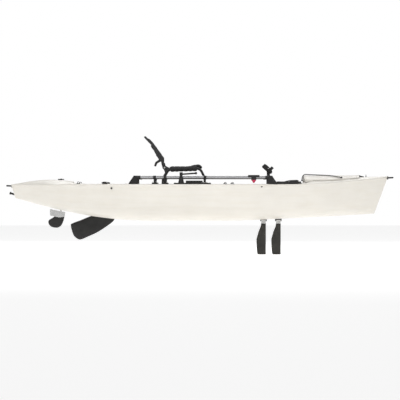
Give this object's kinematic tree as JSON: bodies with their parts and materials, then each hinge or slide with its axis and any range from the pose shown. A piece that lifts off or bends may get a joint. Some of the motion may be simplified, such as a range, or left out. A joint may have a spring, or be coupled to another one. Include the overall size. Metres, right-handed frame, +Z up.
{
  "type": "pedal kayak",
  "caption": "Sit-on-top pedal kayak with a swinging-fin drive, framed mesh seat, side rails, steered kick-up rudder, skeg and bow hatch.",
  "frame": {"origin": "amidships on the flat strip along the middle of the hull's bottom", "axes": "+X to the bow, +Y to port, +Z up"},
  "size_m": [3.761, 0.9273, 1.1458],
  "materials": {
    "hull_plastic": "rotomoulded polyethylene, warm pale grey, softly textured",
    "black_plastic": "fine-grained black moulded nylon",
    "dark_plastic": "dark grey moulded plastic",
    "rail_metal": "anodised grey extrusion",
    "black_tube": "black powder-coated aluminium tube",
    "steel": "stainless steel",
    "mesh": "black woven mesh",
    "cord": "braided elastic cord",
    "foam": "closed-cell foam, ribbed",
    "rubber": "soft black rubber",
    "fin_rubber": "flexible charcoal fin",
    "crimson": "crimson moulded plastic",
    "silver": "cast, bead-blasted aluminium"
  },
  "bodies": {
    "hull": {"hull": "hull_plastic", "end_handles": "black_plastic", "side_rails": "rail_metal", "rail_posts": "black_plastic", "rail_end_brackets": "black_plastic", "steering_pedestal": "black_plastic", "gunwale_eyes": "black_plastic", "side_plugs": "dark_plastic", "rod_holders": "black_plastic", "dash_console": "dark_plastic", "floor_hatch_frame": "dark_plastic", "floor_pads": "foam", "hatch_gasket": "rubber", "hatch_hinge": "black_plastic", "lid_hinge_pins": "steel", "rudder_bushes": "black_plastic", "skeg_pin": "steel", "seat_clips": "black_plastic", "seat_frame": "black_tube", "seat_pad": "mesh", "seat_hinge_pins": "steel", "drive_housing": "black_plastic", "drive_chains": "steel", "drum_axles": "steel", "latch_pins": "steel"},
    "drain_plug": {"drain_plug": "black_plastic"},
    "rail_clamp": {"rail_clamp": "black_plastic"},
    "clamp_screw": {"clamp_screw": "crimson"},
    "steering_handle": {"steering_handle": "black_plastic", "steering_drum": "black_plastic"},
    "rudder_stock": {"rudder_stock": "black_plastic", "rudder_drum": "black_plastic", "rudder_pin": "steel"},
    "rudder_blade": {"rudder_blade": "dark_plastic"},
    "skeg": {"skeg_blade": "dark_plastic"},
    "seat_back": {"seat_back_frame": "black_tube", "seat_back_mesh": "mesh"},
    "recline_lever": {"recline_lever": "black_plastic"},
    "crank_port": {"crank_shaft": "steel", "crank_arm_port": "black_tube", "pedal_pin_port": "steel"},
    "crank_starboard": {"crank_arm_starboard": "black_tube", "pedal_pin_starboard": "steel"},
    "pedal_port": {"pedal_port": "black_plastic", "foot_strap_port": "rubber"},
    "pedal_starboard": {"pedal_starboard": "black_plastic", "foot_strap_starboard": "rubber"},
    "fin_aft": {"fin_drum_aft": "silver", "fin_mast_aft": "steel", "fin_aft": "fin_rubber"},
    "fin_front": {"fin_drum_front": "silver", "fin_mast_front": "steel", "fin_front": "fin_rubber"},
    "latch_port": {"drive_latch_port": "black_plastic"},
    "latch_starboard": {"drive_latch_starboard": "black_plastic"},
    "bow_lid": {"bow_hatch_lid": "hull_plastic", "bow_cord": "cord", "bow_cord_ends": "black_plastic"},
    "dash_lid": {"dash_lid": "dark_plastic"},
    "floor_lid": {"floor_hatch_lid": "dark_plastic"}
  },
  "joints": [
    {"name": "crank_port_swing", "type": "hinge", "parent": "hull", "child": "crank_port", "pos_m": [0.69, 0, 0.235], "axis": [0, 1, 0], "range_deg": [-30, 30]},
    {"name": "crank_starboard_swing", "type": "hinge", "parent": "hull", "child": "crank_starboard", "pos_m": [0.69, 0, 0.235], "axis": [0, 1, 0], "range_deg": [-30, 30]},
    {"name": "fin_front_flap", "type": "hinge", "parent": "hull", "child": "fin_front", "pos_m": [0.765, 0, 0.003], "axis": [1, 0, 0], "range_deg": [-78, 78]},
    {"name": "fin_aft_flap", "type": "hinge", "parent": "hull", "child": "fin_aft", "pos_m": [0.621, 0, 0.003], "axis": [1, 0, 0], "range_deg": [-78, 78]},
    {"name": "pedal_port_pivot", "type": "hinge", "parent": "crank_port", "child": "pedal_port", "pos_m": [0.663, 0.06, 0.5045], "axis": [0, 1, 0], "range_deg": [-100, 20]},
    {"name": "pedal_starboard_pivot", "type": "hinge", "parent": "crank_starboard", "child": "pedal_starboard", "pos_m": [0.663, -0.06, 0.5045], "axis": [0, 1, 0], "range_deg": [-100, 20]},
    {"name": "steering_turn", "type": "hinge", "parent": "hull", "child": "steering_handle", "pos_m": [-0.176, -0.408, 0.445], "axis": [0, 0, 1], "range_deg": [-45, 45]},
    {"name": "rudder_steer", "type": "hinge", "parent": "hull", "child": "rudder_stock", "pos_m": [-1.345, 0, 0.1], "axis": [0, 0, 1], "range_deg": [-45, 45]},
    {"name": "rudder_kick_up", "type": "hinge", "parent": "rudder_stock", "child": "rudder_blade", "pos_m": [-1.333, 0, 0.052], "axis": [0, 1, 0], "range_deg": [0, 45]},
    {"name": "skeg_swing", "type": "hinge", "parent": "hull", "child": "skeg", "pos_m": [-0.836, 0, 0.06], "axis": [0, 1, 0], "range_deg": [-20, 18]},
    {"name": "seat_back_fold", "type": "hinge", "parent": "hull", "child": "seat_back", "pos_m": [-0.338, 0, 0.512], "axis": [0, 1, 0], "range_deg": [-6, 70]},
    {"name": "recline_lever_turn", "type": "hinge", "parent": "seat_back", "child": "recline_lever", "pos_m": [-0.36229, -0.24, 0.57897], "axis": [0, 1, 0], "range_deg": [0, 25]},
    {"name": "latch_port_turn", "type": "hinge", "parent": "hull", "child": "latch_port", "pos_m": [0.693, 0.07, 0.135], "axis": [0, 0, 1], "range_deg": [-95, 0]},
    {"name": "latch_starboard_turn", "type": "hinge", "parent": "hull", "child": "latch_starboard", "pos_m": [0.693, -0.07, 0.135], "axis": [0, 0, 1], "range_deg": [0, 95]},
    {"name": "bow_lid_open", "type": "hinge", "parent": "hull", "child": "bow_lid", "pos_m": [1.554, 0, 0.43324], "axis": [0, 1, 0], "range_deg": [0, 100]},
    {"name": "dash_lid_open", "type": "hinge", "parent": "hull", "child": "dash_lid", "pos_m": [0.948, 0, 0.38699], "axis": [0, 1, 0], "range_deg": [0, 100]},
    {"name": "floor_lid_open", "type": "hinge", "parent": "hull", "child": "floor_lid", "pos_m": [0.41, 0, 0.1458], "axis": [0, 1, 0], "range_deg": [0, 105]},
    {"name": "rail_clamp_slide", "type": "slide", "parent": "hull", "child": "rail_clamp", "axis": [1, 0, 0], "range_m": [-0.35, 0.05]},
    {"name": "clamp_screw_turn", "type": "hinge", "parent": "rail_clamp", "child": "clamp_screw", "pos_m": [0.519, -0.385, 0.377], "axis": [0, 0, 1], "continuous": true},
    {"name": "drain_plug_turn", "type": "hinge", "parent": "hull", "child": "drain_plug", "pos_m": [-1.792, 0, 0.253], "axis": [-0.9578, 0, 0.2874], "continuous": true}
  ],
  "couplings": [
    {"joint": "crank_starboard_swing", "follows": "crank_port_swing", "ratio": -1},
    {"joint": "fin_front_flap", "follows": "crank_port_swing", "ratio": 2.6},
    {"joint": "fin_aft_flap", "follows": "crank_port_swing", "ratio": -2.6},
    {"joint": "rudder_steer", "follows": "steering_turn", "ratio": 1}
  ]
}
